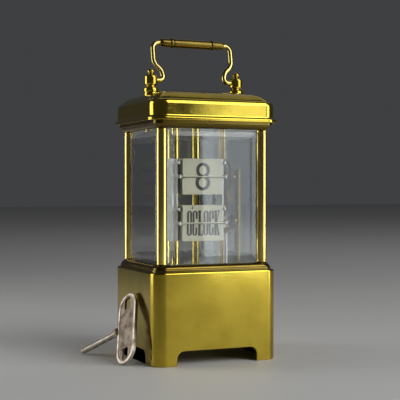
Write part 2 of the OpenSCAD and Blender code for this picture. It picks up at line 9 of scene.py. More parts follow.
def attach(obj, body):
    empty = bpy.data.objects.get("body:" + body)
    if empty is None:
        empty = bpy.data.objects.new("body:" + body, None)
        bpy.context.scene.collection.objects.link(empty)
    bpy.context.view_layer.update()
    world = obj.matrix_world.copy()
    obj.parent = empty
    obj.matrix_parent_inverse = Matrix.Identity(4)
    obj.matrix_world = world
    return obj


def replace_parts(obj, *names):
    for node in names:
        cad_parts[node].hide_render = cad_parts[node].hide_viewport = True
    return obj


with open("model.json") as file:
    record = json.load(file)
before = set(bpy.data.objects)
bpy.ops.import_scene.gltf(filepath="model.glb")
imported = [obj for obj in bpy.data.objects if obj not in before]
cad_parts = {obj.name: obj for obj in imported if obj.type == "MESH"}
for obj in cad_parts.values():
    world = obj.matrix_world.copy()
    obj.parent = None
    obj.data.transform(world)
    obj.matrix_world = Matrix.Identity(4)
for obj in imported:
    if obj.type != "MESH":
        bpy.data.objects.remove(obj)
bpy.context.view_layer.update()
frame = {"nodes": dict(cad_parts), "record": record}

mm = 0.001
weldGap = 0.0005  # points closer than this, in millimetres, become one
scene = bpy.context.scene
nodes = frame["nodes"]
bodies = frame["record"]["behaviour"]["bodies"]
bodyOf = {node: body for body, members in bodies.items() for node in members}
slotOf = {part["node"]: part["material_slot"] for part in frame["record"]["subparts"]}

clock = {  # the case, in millimetres; its middle stands right of the origin
    "middle": 9.7,
    "width": 70.0,
    "depth": 62.0,
    "corner": 7.0,
    "baseTop": 47.5,
    "floorTop": 51.3,
    "ceilingBottom": 121.0,
    "capBottom": 124.8,
    "pillarX": 28.4,
    "pillarY": 24.4,
}


# shader maths: wraps one socket, so that Python's operators add the nodes
class Signal:
    def __init__(self, finish, socket):
        self.finish, self.socket = finish, socket

    def sum(self, operation, first, second):
        return self.finish.add("ShaderNodeMath", {"operation": operation}, {0: first, 1: second})

    def __add__(self, other): return self.sum("ADD", self, other)
    def __radd__(self, other): return self.sum("ADD", other, self)
    def __sub__(self, other): return self.sum("SUBTRACT", self, other)
    def __rsub__(self, other): return self.sum("SUBTRACT", other, self)
    def __mul__(self, other): return self.sum("MULTIPLY", self, other)
    def __rmul__(self, other): return self.sum("MULTIPLY", other, self)

    # 0 below start, 1 above end, with a soft step between
    def rises(self, start, end):
        return self.finish.add("ShaderNodeMapRange", {"interpolation_type": "SMOOTHSTEP"},
                               {0: self, 1: start, 2: end, 3: 0.0, 4: 1.0})


class Finish:
    def __init__(self, name, **plain):
        self.material = bpy.data.materials.new(name)
        self.material.use_nodes = True
        self.tree = self.material.node_tree
        self.tree.nodes.clear()
        output = self.tree.nodes.new("ShaderNodeOutputMaterial")
        self.shader = self.tree.nodes.new("ShaderNodeBsdfPrincipled")
        self.tree.links.new(self.shader.outputs[0], output.inputs[0])
        for name, value in plain.items():
            self.set(name.replace("_", " "), value)

    # one node of any type: its settings first, then its sockets by place or by name
    def add(self, kind, settings, sockets, out=0):
        node = self.tree.nodes.new(kind)
        for setting, value in settings.items():
            setattr(node, setting, value)
        for socket, value in sockets.items():
            self.feed(node.inputs[socket], value)
        return Signal(self, node.outputs[out])

    def feed(self, socket, value):
        if isinstance(value, Signal):
            self.tree.links.new(value.socket, socket)
        elif socket.type == "RGBA":
            socket.default_value = (*value, 1)
        else:
            socket.default_value = value

    def set(self, name, value):
        self.feed(self.shader.inputs[name], value)

    # a point on the piece itself, in metres, stretched and turned
    def spot(self, scale=(1, 1, 1), turn=(0, 0, 0)):
        here = self.add("ShaderNodeTexCoord", {}, {}, out=3)
        return self.add("ShaderNodeMapping", {}, {0: here, 1: (0, 0, 0), 2: turn, 3: scale})

    def noise(self, spot, size, detail=3.0, roughness=0.55):
        return self.add("ShaderNodeTexNoise", {}, {
            "Vector": spot, "Scale": 1 / size, "Detail": detail, "Roughness": roughness})

    def mix(self, amount, first, second):
        return self.add("ShaderNodeMix", {"data_type": "RGBA"}, {0: amount, 6: first, 7: second}, out=2)

    def bump(self, height, depth, strength):
        self.set("Normal", self.add("ShaderNodeBump", {}, {
            "Strength": strength, "Distance": depth, "Height": height}))


brass = {  # colours, roughness of the cleanest spots, and size of the drawn lines in metres
    "case": {"clean": (0.53, 0.395, 0.045), "dull": (0.34, 0.25, 0.022), "gloss": 0.07, "line": 0.0049},
    "handle": {"clean": (0.50, 0.41, 0.13), "dull": (0.27, 0.21, 0.06), "gloss": 0.16, "line": 0.0042},
    # aged: a very dark brass; on the mouldings above and below the glass this darkness is painted shade
    # of those recessed rails, on the grip and the inner wheels it is simply a darker brass
    "aged": {"clean": (0.15, 0.105, 0.016), "dull": (0.085, 0.055, 0.01), "gloss": 0.18, "line": 0.0049},
    "bright": {"clean": (0.84, 0.66, 0.20), "dull": (0.48, 0.36, 0.08), "gloss": 0.09, "line": 0.0042},
    "inner": {"clean": (0.74, 0.57, 0.25), "dull": (0.46, 0.34, 0.13), "gloss": 0.26, "line": 0.0042},
}


# lacquered brass: fine drawn grain, cloudy tarnish and small rubbed specks
def brassFinish(name, colours, along=(1, 1, 14)):
    finish = Finish(name, Metallic=1.0, Coat_Weight=0.14, Coat_Roughness=0.12)
    cloud = finish.noise(finish.spot(), 0.017, 4.0).rises(0.38, 0.68)
    fleck = finish.noise(finish.spot(), 0.0016, 2.0).rises(0.56, 0.74)
    grain = finish.noise(finish.spot(scale=along), colours["line"], 3.0, 0.7)
    colour = finish.mix(cloud * 0.5, colours["clean"], colours["dull"])
    finish.set("Base Color", finish.mix(fleck * 0.16, colour, colours["dull"]))
    finish.set("Roughness", colours["gloss"] + cloud * 0.06 + fleck * 0.04 + grain * 0.04)
    finish.bump(grain * 0.7 + fleck * 0.3, 0.00002, 0.5)
    return finish.material


caseBrass = brassFinish("caseBrass", brass["case"])
# dark brass: painted shade on the two mouldings, a darker brass on the handle grip and the inner wheels
agedAndShadedBrass = brassFinish("agedAndShadedBrass", brass["aged"])
handleBrass = brassFinish("handleBrass", brass["handle"])
brightBrass = brassFinish("brightBrass", brass["bright"], (8, 8, 1))
innerBrass = brassFinish("innerBrass", brass["inner"], (1, 10, 1))

metal = {  # colours and roughness of the cleanest spots
    "steel": {"light": (0.46, 0.46, 0.44), "dark": (0.25, 0.25, 0.25), "gloss": 0.28},
    "wire": {"light": (0.20, 0.195, 0.17), "dark": (0.14, 0.135, 0.12), "gloss": 0.4},
    "worn": {"light": (0.25, 0.21, 0.165), "dark": (0.11, 0.08, 0.055), "gloss": 0.42},
    "blued": {"light": (0.10, 0.14, 0.30), "dark": (0.04, 0.05, 0.13), "gloss": 0.22},
    "nickel": {"light": (0.50, 0.45, 0.375), "dark": (0.22, 0.15, 0.10), "gloss": 0.34},
}


def steelFinish(name, colours, wear=0.35, pits=0.00003):
    finish = Finish(name, Metallic=1.0)
    patch = finish.noise(finish.spot(), 0.0045, 5.0, 0.65).rises(0.42, 0.66)
    scratch = finish.noise(finish.spot(scale=(1, 1, 9), turn=(0.5, 0.3, 0)), 0.0022, 4.0, 0.7)
    pit = finish.noise(finish.spot(), 0.0007, 2.0).rises(0.6, 0.75)
    finish.set("Base Color", finish.mix(patch * wear + pit * 0.3, colours["light"], colours["dark"]))
    finish.set("Roughness", colours["gloss"] + patch * 0.16 + scratch * 0.08)
    finish.bump(scratch * 0.5 - pit * 0.8, pits, 0.6)
    return finish.material


steel = steelFinish("arborSteel", metal["steel"])
bluedSteel = steelFinish("bluedSteel", metal["blued"], 0.6)
wireSteel = steelFinish("wireSteel", metal["wire"])
keyWorn = steelFinish("keyWorn", metal["worn"], 0.8, 0.00008)
keyNickel = steelFinish("keyNickel", metal["nickel"], 0.75, 0.00005)

card = {
    "face": (0.40, 0.385, 0.30),
    "aged": (0.33, 0.30, 0.20),
    "ink": (0.012, 0.011, 0.012),
    "dryInk": (0.05, 0.045, 0.05),
}


def cardFinish():
    finish = Finish("leafCard", IOR=1.47)
    mottle = finish.noise(finish.spot(), 0.006, 4.0).rises(0.35, 0.75)
    fibre = finish.noise(finish.spot(scale=(1, 1, 3)), 0.0004, 2.0)
    finish.set("Base Color", finish.mix(mottle * 0.35 + fibre * 0.15, card["face"], card["aged"]))
    finish.set("Roughness", 0.42 + mottle * 0.14)
    finish.bump(fibre, 0.00002, 0.4)
    return finish.material


def inkFinish():
    finish = Finish("printedInk", IOR=1.5)
    dry = finish.noise(finish.spot(), 0.0009, 3.0).rises(0.5, 0.8)
    finish.set("Base Color", finish.mix(dry * 0.3, card["ink"], card["dryInk"]))
    finish.set("Roughness", 0.4 + dry * 0.2)
    finish.bump(dry, 0.00001, 0.3)
    return finish.material


leafCard = cardFinish()
printedInk = inkFinish()

glassLook = {"tint": (0.93, 0.97, 0.95), "clear": (0.98, 0.99, 0.98), "roughness": 0.0, "bend": 1.5}


def glassFinish():
    finish = Finish("bevelledGlass", Transmission_Weight=1.0, IOR=glassLook["bend"])
    haze = finish.noise(finish.spot(), 0.03, 2.0)
    finish.set("Base Color", finish.mix(haze * 0.3, glassLook["tint"], glassLook["clear"]))
    finish.set("Roughness", glassLook["roughness"])
    return finish.material


plateGlass = glassFinish()
finishOf = {
    "case_brass": caseBrass,
    "bright_brass": brightBrass,
    "inner_brass": innerBrass,
    "steel": steel,
    "spring_steel": bluedSteel,
    "plate_glass": plateGlass,
    "leaf_card": leafCard,
    "key_nickel": keyNickel,
}
# the inner wheels take the same dark brass that paints shade onto the mouldings
ownFinish = dict.fromkeys(
    ["outer_bar", "hour_wheel", "intermediate_wheel", "minute_bevel", "drive_bevel"], agedAndShadedBrass)
ownFinish.update(dict.fromkeys(["minute_arbor", "hour_arbor", "leaf_rest_wires"], wireSteel))
for name, node in nodes.items():
    node.data.materials.clear()
    node.data.materials.append(ownFinish.get(name, finishOf[slotOf[name]]))
    if slotOf[name] == "plate_glass":
        node.visible_shadow = False  # light reaches the leaves through the panes
print("finishes on", len(nodes), "carried-over nodes")


# turns a bmesh, in millimetres about the clock's middle, into a placed piece of the assembly;
# node names the part it belongs to, and second is the finish of faces with material 1
def finished(name, bm, node, finish=None, second=None, place=Matrix(), crisp=32, bevel=None):
    bmesh.ops.remove_doubles(bm, verts=bm.verts, dist=weldGap)
    bmesh.ops.recalc_face_normals(bm, faces=bm.faces)
    inMetres = Matrix.Translation((clock["middle"] * mm, 0, 0)) @ Matrix.Scale(mm, 4)
    bm.transform(inMetres @ place)
    mesh = bpy.data.meshes.new(name)
    bm.to_mesh(mesh)
    bm.free()
    mesh.polygons.foreach_set("use_smooth", [True] * len(mesh.polygons))
    mesh.set_sharp_from_angle(angle=radians(crisp))
    piece = bpy.data.objects.new(name, mesh)
    scene.collection.objects.link(piece)
    mesh.materials.append(finish or finishOf[slotOf[node]])
    if second:
        mesh.materials.append(second)
    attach(piece, bodyOf[node])
    if bevel:
        rounding = piece.modifiers.new("edges", "BEVEL")
        rounding.width, rounding.segments = bevel * mm, 2
        rounding.limit_method, rounding.angle_limit = "ANGLE", radians(50)
        rounding.harden_normals = False
    even = piece.modifiers.new("even", "WEIGHTED_NORMAL")
    even.keep_sharp = True
    return piece


# the same for a piece that takes the node's place
def standFor(name, bm, node, *finishes, **details):
    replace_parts(finished(name, bm, node, *finishes, **details), node)


def facesOf(made):
    return [part for part in made if isinstance(part, bmesh.types.BMFace)]


def pointsOf(made):
    return [part for part in made if isinstance(part, bmesh.types.BMVert)]


# a rounded rectangle face, flat at height z
def roundedFace(bm, width, depth, corner, z, steps=10):
    made = bmesh.ops.create_grid(bm, x_segments=1, y_segments=1, size=0.5)["verts"]
    bmesh.ops.scale(bm, vec=(width, depth, 1), verts=made)
    bmesh.ops.translate(bm, vec=(0, 0, z), verts=made)
    face = made[0].link_faces[0]
    bmesh.ops.bevel(bm, geom=made, offset=corner, offset_type="OFFSET", affect="VERTICES",
                    segments=steps, profile=0.5, material=-1)
    level = [f for f in bm.faces if all(abs(v.co.z - z) < 1e-3 for v in f.verts)]
    return max(level, key=lambda f: len(f.verts))


# pulls one face up through (inset, height) rings measured from the given outline
def moulding(width, depth, corner, rings, steps=10, closed=False):
    bm = bmesh.new()
    inset, z = rings[0]
    face = roundedFace(bm, width - 2 * inset, depth - 2 * inset, corner - inset, z, steps)
    if closed:  # the rings come back to the first one, so there are no end faces
        rings = rings + rings[:1]
    else:
        bmesh.ops.duplicate(bm, geom=[face] + face.edges[:] + face.verts[:])
    for nextInset, nextZ in rings[1:]:
        grown = bmesh.ops.extrude_face_region(bm, geom=[face])["geom"]
        bmesh.ops.delete(bm, geom=[face], context="FACES_KEEP_BOUNDARY")
        face = facesOf(grown)[0]
        across = (width - 2 * nextInset) / (width - 2 * inset)
        deep = (depth - 2 * nextInset) / (depth - 2 * inset)
        bmesh.ops.scale(bm, vec=(across, deep, 1), verts=face.verts[:])
        bmesh.ops.translate(bm, vec=(0, 0, nextZ - z), verts=face.verts[:])
        inset, z = nextInset, nextZ
    if closed:
        bmesh.ops.delete(bm, geom=[face], context="FACES_ONLY")
    bmesh.ops.remove_doubles(bm, verts=bm.verts, dist=weldGap)
    return bm


# adds another bmesh to the first
def merged(bm, other):
    spare = bpy.data.meshes.new("spare")
    other.to_mesh(spare)
    other.free()
    bm.from_mesh(spare)
    bpy.data.meshes.remove(spare)


# turns a (radius, height) profile about the upright axis through (x, y)
def turned(bm, profile, x=0, y=0, z=0, steps=48):
    line = [bm.verts.new((x + radius, y, z + height)) for radius, height in profile]
    edges = [bm.edges.new(pair) for pair in zip(line, line[1:])]
    bmesh.ops.spin(bm, geom=line + edges, cent=(x, y, 0), axis=(0, 0, 1), angle=tau, steps=steps,
                   use_merge=True)
    bmesh.ops.remove_doubles(bm, verts=bm.verts, dist=weldGap)
    return bm


def evaluatedMesh(thing):
    graph = bpy.context.evaluated_depsgraph_get()
    return bpy.data.meshes.new_from_object(thing.evaluated_get(graph))


# takes closed cutters out of a closed shape
def cut(bm, *cutters):
    bmesh.ops.recalc_face_normals(bm, faces=bm.faces)
    mesh = bpy.data.meshes.new("blank")
    bm.to_mesh(mesh)
    blank = bpy.data.objects.new("blank", mesh)
    scene.collection.objects.link(blank)
    spare = [blank]
    for cutter in cutters:
        tool = bpy.data.meshes.new("cutter")
        bmesh.ops.recalc_face_normals(cutter, faces=cutter.faces)
        cutter.to_mesh(tool)
        cutter.free()
        knife = bpy.data.objects.new("cutter", tool)
        scene.collection.objects.link(knife)
        spare.append(knife)
        step = blank.modifiers.new("cut", "BOOLEAN")
        step.operation, step.solver, step.object = "DIFFERENCE", "MANIFOLD", knife
    bm.clear()
    bm.from_mesh(evaluatedMesh(blank))
    bmesh.ops.dissolve_degenerate(bm, dist=0.002, edges=bm.edges)
    for thing in spare:
        bpy.data.objects.remove(thing)


base = {  # the tall base with its four arches
    "wall": 2.2,
    "archHalf": 22.5,
    "sideArchHalf": 18.5,
    "archHeight": 7.5,
    "archCorner": 4.0,
    "archReach": 100,
    "mouth": (48, 40, 4),  # opening up to the glass: width, depth, corner
    "softEdge": 0.3,
}


def archCutter(half, turn):
    bm = bmesh.new()
    face = roundedFace(bm, 2 * half, 2 * base["archHeight"], base["archCorner"], 0, 8)
    raised = bmesh.ops.extrude_face_region(bm, geom=[face])["geom"]
    bmesh.ops.translate(bm, vec=(0, 0, base["archReach"]), verts=pointsOf(raised))
    bmesh.ops.translate(bm, vec=(0, 0, -base["archReach"] / 2), verts=bm.verts)
    bm.transform(Matrix.Rotation(turn, 4, "Z") @ Matrix.Rotation(pi / 2, 4, "X"))
    return bm


def makeBase():
    wide, deep, corner, wall = clock["width"], clock["depth"], clock["corner"], base["wall"]
    top = clock["baseTop"]
    bm = moulding(wide, deep, corner, [
        (0.25, 0), (0, 0.25), (0, top - 0.9), (0.12, top - 0.45), (0.4, top - 0.12), (0.8, top)], 14)
    hollow = moulding(wide - 2 * wall, deep - 2 * wall, corner - wall, [(0, -1), (0, top - 1)], 10)
    mouth = moulding(*base["mouth"], [(0, top - 3), (0, top + 1)], 6)
    frontArch, sideArch = archCutter(base["archHalf"], 0), archCutter(base["sideArchHalf"], pi / 2)
    cut(bm, hollow, mouth, frontArch, sideArch)
    standFor("baseShell", bm, "base_shell", bevel=base["softEdge"])


makeBase()
print("base made")

rails = {"width": 67.0, "depth": 59.0, "corner": 6.0}  # the mouldings above and below the glass


def makeRails():
    outline = rails["width"], rails["depth"], rails["corner"]
    low, high = clock["baseTop"], clock["floorTop"]
    bm = moulding(*outline, [
        (0.1, low), (0, low + 0.1), (0, low + 1.1), (0.15, low + 1.4), (0.5, low + 1.6),
        (0.5, low + 1.9), (0.75, low + 2.5), (1.3, low + 3.1), (2.0, low + 3.55), (2.6, high)])
    # the lower moulding is darkened with painted shade, using the dark brass
    standFor("lowerMoulding", bm, "case_floor", agedAndShadedBrass)
    low, high = clock["ceilingBottom"], clock["capBottom"]
    bm = moulding(*outline, [
        (2.0, low), (1.5, low + 0.3), (0.9, low + 0.8), (0.5, low + 1.6), (0.35, low + 2.2),
        (0, low + 2.4), (0, high)])
    # the upper moulding, under the cap, is darkened with painted shade, using the dark brass
    standFor("upperMoulding", bm, "case_ceiling", agedAndShadedBrass)


makeRails()

cap = {
    "lip": 1.2,
    "bandTop": 133.1,
    "shoulder": (1.55, 2.6),  # how far the band's top edge turns in and up
    "hollow": (65.6, 57.6, 4.8),  # width, depth, corner
}


def makeCap():
    low = clock["capBottom"]
    lip, band = -cap["lip"], cap["bandTop"]
    inward, upward = cap["shoulder"]
    rings = [
        (lip + 0.3, low), (lip + 0.06, low + 0.15), (lip, low + 0.45), (lip, low + 1.3),
        (lip + 0.12, low + 1.6), (lip + 0.4, low + 1.85), (lip + 0.7, low + 2.0),
        (lip + 0.95, low + 2.25), (0, low + 2.9), (0, band)]
    for bend in (15, 30, 45, 60, 74, 86):
        rings.append((inward * (1 - cos(radians(bend))), band + upward * sin(radians(bend))))
    rings += [
        (1.75, 135.95), (2.3, 136.6), (3.1, 137.35), (4.1, 138.15), (5.2, 138.9), (6.6, 139.55),
        (8.6, 140.15), (11.2, 140.68), (14.5, 141.15), (18.5, 141.52), (23, 141.8), (27, 141.9)]
    bm = moulding(clock["width"], clock["depth"], clock["corner"], rings, 14)
    hollow = moulding(*cap["hollow"], [
        (0, low - 1), (0, low + 9.2), (2.2, low + 10.4), (8, low + 12.9)], 8)
    cut(bm, hollow)
    standFor("capShell", bm, "cap_shell", crisp=40)


makeCap()
print("cap and mouldings made")

pillar = {"radius": 2.8, "groove": 0.18}


def makePillars():
    r, low, high = pillar["radius"], clock["floorTop"], clock["ceilingBottom"]
    neck = r - pillar["groove"]
    profile = [
        (0, low), (r - 0.3, low), (r, low + 0.3), (r, low + 1.2), (neck, low + 1.35),
        (neck, low + 1.55), (r, low + 1.7), (r, high - 1.7), (neck, high - 1.55),
        (neck, high - 1.35), (r, high - 1.2), (r, high - 0.3), (r - 0.3, high), (0, high)]
    for x, side in ((-1, "left"), (1, "right")):
        for y, end in ((-1, "front"), (1, "back")):
            bm = turned(bmesh.new(), profile, x * clock["pillarX"], y * clock["pillarY"])
            standFor("pillar" + end.title() + side.title(), bm, "pillar_" + end + "_" + side)


makePillars()

handle = {  # turned posts, bent arms and a beaded grip
    "postX": 25.0,
    "postFoot": 141.05,
    "pivot": 147.9,
    "rise": 20.8,
    "lean": 9.5,
    "wire": 2.6,
    "inPost": 26.2,  # where the wire starts, inside the post
    "stub": 6.0,
    "elbow": 2.2,
    "sway": (4.8, 9.9),  # the double bend: sideways and up
    "shoulder": 3.6,
    "inGrip": 1.8,
}


def makePosts():
    profile = [
        (0, -2.6), (3.6, -2.6), (3.75, -1.2), (3.55, -0.1), (3.75, 0.1), (3.9, 0.6), (3.95, 1.3),
        (3.9, 2.1), (3.65, 2.6), (3.2, 2.95), (2.75, 3.2), (2.65, 3.45), (2.75, 3.7), (3.1, 3.95),
        (3.35, 4.3), (3.5, 4.9), (3.5, 8.2), (3.4, 8.7), (3.1, 9.15), (2.6, 9.5), (1.9, 9.7),
        (1.45, 9.85), (1.35, 10.05), (1.5, 10.35), (1.78, 10.75), (1.9, 11.3), (1.82, 11.75),
        (1.5, 12.2), (0.9, 12.6), (0, 12.78)]
    for x, side in ((-1, "left"), (1, "right")):
        bm = turned(bmesh.new(), profile, x * handle["postX"], 0, handle["postFoot"])
        standFor("handlePost" + side.title(), bm, "handle_post_" + side)


# a round wire that follows straight steps and turns in the XZ plane
def bentWire(radius, start, heading, path):
    bm = bmesh.new()
    tip = bmesh.ops.create_circle(bm, cap_ends=True, radius=radius, segments=24)["verts"]
    bmesh.ops.transform(bm, matrix=Matrix.Rotation(pi / 2, 4, "Y"), verts=tip)
    bmesh.ops.translate(bm, vec=(start, 0, 0), verts=tip)
    face = tip[0].link_faces[0]
    x, z = start, 0
    for kind, amount, turn in path:
        if kind == "go":
            moved = bmesh.ops.extrude_face_region(bm, geom=[face])["geom"]
            step = Vector((cos(heading) * amount, 0, sin(heading) * amount))
            bmesh.ops.translate(bm, vec=step, verts=pointsOf(moved))
            if x != start or z != 0:  # the very first face stays, as the wire's end
                bmesh.ops.delete(bm, geom=[face], context="FACES_KEEP_BOUNDARY")
            face = facesOf(moved)[0]
            x, z = x + step.x, z + step.z
        else:
            side = 1 if turn > 0 else -1  # a positive turn is clockwise
            centreX = x + side * amount * sin(heading)
            centreZ = z - side * amount * cos(heading)
            steps = max(4, int(abs(turn) * 9))
            swept = bmesh.ops.spin(bm, geom=[face], cent=(centreX, 0, centreZ), axis=(0, 1, 0),
                                   angle=turn, steps=steps)["geom_last"]
            bmesh.ops.delete(bm, geom=[face], context="FACES_KEEP_BOUNDARY")
            face = facesOf(swept)[0]
            heading -= turn
            x = centreX - side * amount * sin(heading)
            z = centreZ + side * amount * cos(heading)
    return bm


def makeHandle():
    out, up = handle["sway"]
    bend = (up * up + out * out) / (4 * out)
    swing = asin(up / (2 * bend))
    elbow, shoulder = handle["elbow"], handle["shoulder"]
    path = [
        ("go", handle["stub"], 0), ("turn", elbow, pi / 2), ("turn", bend, swing),
        ("turn", bend, -swing), ("go", handle["rise"] - shoulder - elbow - up, 0),
        ("turn", shoulder, -pi / 2), ("go", handle["inGrip"], 0)]
    lean = Matrix.Rotation(radians(-handle["lean"]), 4, "X")
    place = Matrix.Translation((0, 0, handle["pivot"])) @ lean
    for mirror, side in ((-1, "left"), (1, "right")):
        bm = bentWire(handle["wire"] / 2, handle["inPost"], pi, path)
        bm.transform(Matrix.Scale(mirror, 4, (1, 0, 0)))
        standFor("handleArm" + side.title(), bm, "handle_arm_" + side, handleBrass,
                 place=place, crisp=50)
    half = [
        (0, -18.6), (1.6, -18.6), (1.9, -18.4), (2.1, -17.9), (2.25, -17), (2.35, -15),
        (2.4, -13.1), (2.42, -12.9), (2.65, -12.75), (2.78, -12.4), (2.8, -11.9), (2.78, -11.4),
        (2.6, -11.1), (2.4, -11.0), (2.4, -10.8), (2.5, -10.6), (2.52, -9.2), (2.5, -6), (2.48, 0)]
    bm = turned(bmesh.new(), half + [(r, -z) for r, z in half[-2::-1]])
    bm.transform(Matrix.Translation((0, 0, handle["rise"])) @ Matrix.Rotation(pi / 2, 4, "Y"))
    standFor("handleGrip", bm, "handle_grip", agedAndShadedBrass, place=place, crisp=50)


makePosts()
makeHandle()
print("pillars and handle made")

rods = {"x": 6.2, "y": 12.7, "radius": 2.1}  # two uprights behind the leaves


def makeRods():
    bm = bmesh.new()
    low, high, r = clock["floorTop"], clock["ceilingBottom"], rods["radius"]
    profile = [(0, low), (r, low), (r, low + 0.1), (r, high - 0.1), (r, high), (0, high)]
    for side in (-1, 1):
        turned(bm, profile, side * rods["x"], rods["y"], 0, 32)
    standFor("displayRods", bm, "display_posts")


makeRods()

leaf = {  # two drums of ivory leaves, with numerals and words in raised ink
    "width": 23.0,
    "half": 9.5,
    "thick": 0.45,
    "corner": 0.5,
    "ink": 0.05,
    "hour": 96.5,  # height of each drum's axis
    "minute": 71.8,
    "upperFront": -10.9,
    "lowerFront": -10.55,
    "hourPack": -8.6,  # front of the leaf that shows when the first one falls
    "minutePack": -9.875,
    "pinY": -11.05,
    "pin": 0.4,
    "pinHalf": 13.5,
    "markX": 0.1,
}


# strokes are drawn flat in X and Y about the mark's own middle, then stood up
def strokeBar(bm, x1, y1, x2, y2, thick):
    made = bmesh.ops.create_grid(bm, x_segments=1, y_segments=1, size=0.5)["verts"]
    length = hypot(x2 - x1, y2 - y1)
    turn = Vector((x2 - x1, y2 - y1)).angle_signed(Vector((1, 0)))
    shift = Matrix.Translation(((x1 + x2) / 2, (y1 + y2) / 2, 0))
    stretch = Matrix.Diagonal((length, thick, 1, 1))
    bmesh.ops.transform(bm, verts=made, matrix=shift @ Matrix.Rotation(turn, 4, "Z") @ stretch)


# a tall or round ring, thin at top and bottom; opening leaves a gap on its right
def strokeRing(bm, x, y, width, height, side, thin, opening=0):
    own = bmesh.new()
    face = roundedFace(own, width, height, min(width, height) / 2 - 0.02, 0, 12)
    bmesh.ops.inset_individual(own, faces=[face], thickness=thin, use_even_offset=True)
    inner = (width - 2 * side) / (width - 2 * thin)
    bmesh.ops.scale(own, vec=(inner, 1, 1), verts=face.verts[:])
    bmesh.ops.delete(own, geom=[face], context="FACES_ONLY")
    if opening:
        for cutY in (-opening, opening):
            everything = own.verts[:] + own.edges[:] + own.faces[:]
            bmesh.ops.bisect_plane(own, geom=everything, plane_co=(0, cutY, 0), plane_no=(0, 1, 0))
        middles = [(f, f.calc_center_median()) for f in own.faces]
        gone = [f for f, middle in middles if middle.x > 0 and abs(middle.y) < opening]
        bmesh.ops.delete(own, geom=gone, context="FACES")
    bmesh.ops.translate(own, vec=(x, y, 0), verts=own.verts)
    merged(bm, own)


def figureEight():
    bm = bmesh.new()
    strokeRing(bm, 0, 3.35, 7.9, 8.1, 1.85, 1.6)
    strokeRing(bm, 0, -3.2, 8.5, 8.4, 2.0, 1.7)
    return bm


def clockWord():
    bm = bmesh.new()
    high, thin, thick = 13.2, 0.65, 1.35
    top = high / 2
    strokeRing(bm, -7.75, 0, 2.9, high, 1.1, thin)
    strokeBar(bm, -6.35, top + 0.9, -5.95, top + 2.1, 0.6)
    strokeRing(bm, -4.6, 0, 2.9, high, 1.1, thin, 2.2)
    strokeBar(bm, -3.4, 3.9, -3.4, top - 0.7, 0.55)
    strokeBar(bm, -1.95, -top, -1.95, top, thick)
    strokeBar(bm, -2.85, top - 0.25, -1.05, top - 0.25, thin)
    strokeBar(bm, -2.85, 0.25 - top, -0.1, 0.25 - top, thin)
    strokeBar(bm, -0.25, -top, -0.25, -top + 2.6, 0.4)
    strokeRing(bm, 1.75, 0, 2.9, high, 1.1, thin)
    strokeRing(bm, 4.9, 0, 2.9, high, 1.1, thin, 2.2)
    strokeBar(bm, 6.1, 3.9, 6.1, top - 0.7, 0.55)
    strokeBar(bm, 7.4, -top, 7.4, top, thick)
    for y in (top - 0.25, 0.25 - top):
        strokeBar(bm, 6.6, y, 8.2, y, thin)
        strokeBar(bm, 8.5, y, 9.9, y, thin)
    strokeBar(bm, 9.3, top - 0.2, 7.75, -0.8, 0.5)
    strokeBar(bm, 8.0, 0.6, 9.3, -top + 0.2, 1.0)
    return bm


def typedMark(text, height, squeeze):
    curve = bpy.data.curves.new("mark", "FONT")
    curve.body, curve.align_x, curve.align_y = text, "CENTER", "CENTER"
    word = bpy.data.objects.new("mark", curve)
    scene.collection.objects.link(word)
    mesh = evaluatedMesh(word)
    bpy.data.objects.remove(word)
    bm = bmesh.new()
    bm.from_mesh(mesh)
    low, high = min(v.co.y for v in bm.verts), max(v.co.y for v in bm.verts)
    tall = high - low
    bmesh.ops.translate(bm, vec=(0, -(high + low) / 2, 0), verts=bm.verts)
    bmesh.ops.scale(bm, vec=(height / tall * squeeze, height / tall, 1), verts=bm.verts)
    return bm


# keeps the half of a mark above or below the split and thickens it towards the reader
def halfMark(bm, upper, gap):
    way = -1 if upper else 1
    everything = bm.verts[:] + bm.edges[:] + bm.faces[:]
    bmesh.ops.bisect_plane(bm, geom=everything, plane_co=(0, -way * gap, 0), plane_no=(0, way, 0),
                           clear_outer=True)
    raised = bmesh.ops.extrude_face_region(bm, geom=bm.faces[:])["geom"]
    bmesh.ops.translate(bm, vec=(0, 0, leaf["ink"]), verts=pointsOf(raised))
    bm.transform(Matrix.Rotation(pi / 2, 4, "X"))
    return bm


def cardHalf(z, front, upper):
    low, high = (0.2, leaf["half"]) if upper else (-leaf["half"], -0.6)
    bm = bmesh.new()
    face = roundedFace(bm, leaf["width"], high - low, leaf["corner"], 0, 4)
    raised = bmesh.ops.extrude_face_region(bm, geom=[face])["geom"]
    bmesh.ops.translate(bm, vec=(0, 0, leaf["thick"]), verts=pointsOf(raised))
    middle = Matrix.Translation((0, front + leaf["thick"], z + (low + high) / 2))
    bm.transform(middle @ Matrix.Rotation(pi / 2, 4, "X"))
    return bm


# the round pin that an upper leaf turns on
def addPin(bm, z):
    end, r = leaf["pinHalf"], leaf["pin"]
    profile = [(0, -end), (r - 0.04, -end), (r, 0.1 - end), (r, end - 0.1), (r - 0.04, end), (0, end)]
    own = turned(bmesh.new(), profile, steps=16)
    own.transform(Matrix.Translation((0, leaf["pinY"], z)) @ Matrix.Rotation(pi / 2, 4, "Y"))
    merged(bm, own)


def placeMark(y, z):
    return Matrix.Translation((leaf["markX"], y, z))


# what shows once an upper leaf has fallen: its back and the leaf that stood behind it
def makeFollowing(which, text, height, squeeze):
    z = leaf[which]
    back = halfMark(typedMark(text, height, squeeze), False, 0.6)
    back.transform(Matrix.Rotation(pi, 4, "X"))  # upside down until the leaf falls
    finished(which + "BackMark", back, which + "_leaf_upper", printedInk,
             place=placeMark(leaf["upperFront"] + leaf["thick"], z))
    behind = halfMark(typedMark(text, height, squeeze), True, 0.6)
    finished(which + "NextMark", behind, which + "_leaf_stack", printedInk,
             place=placeMark(leaf[which + "Pack"], z))


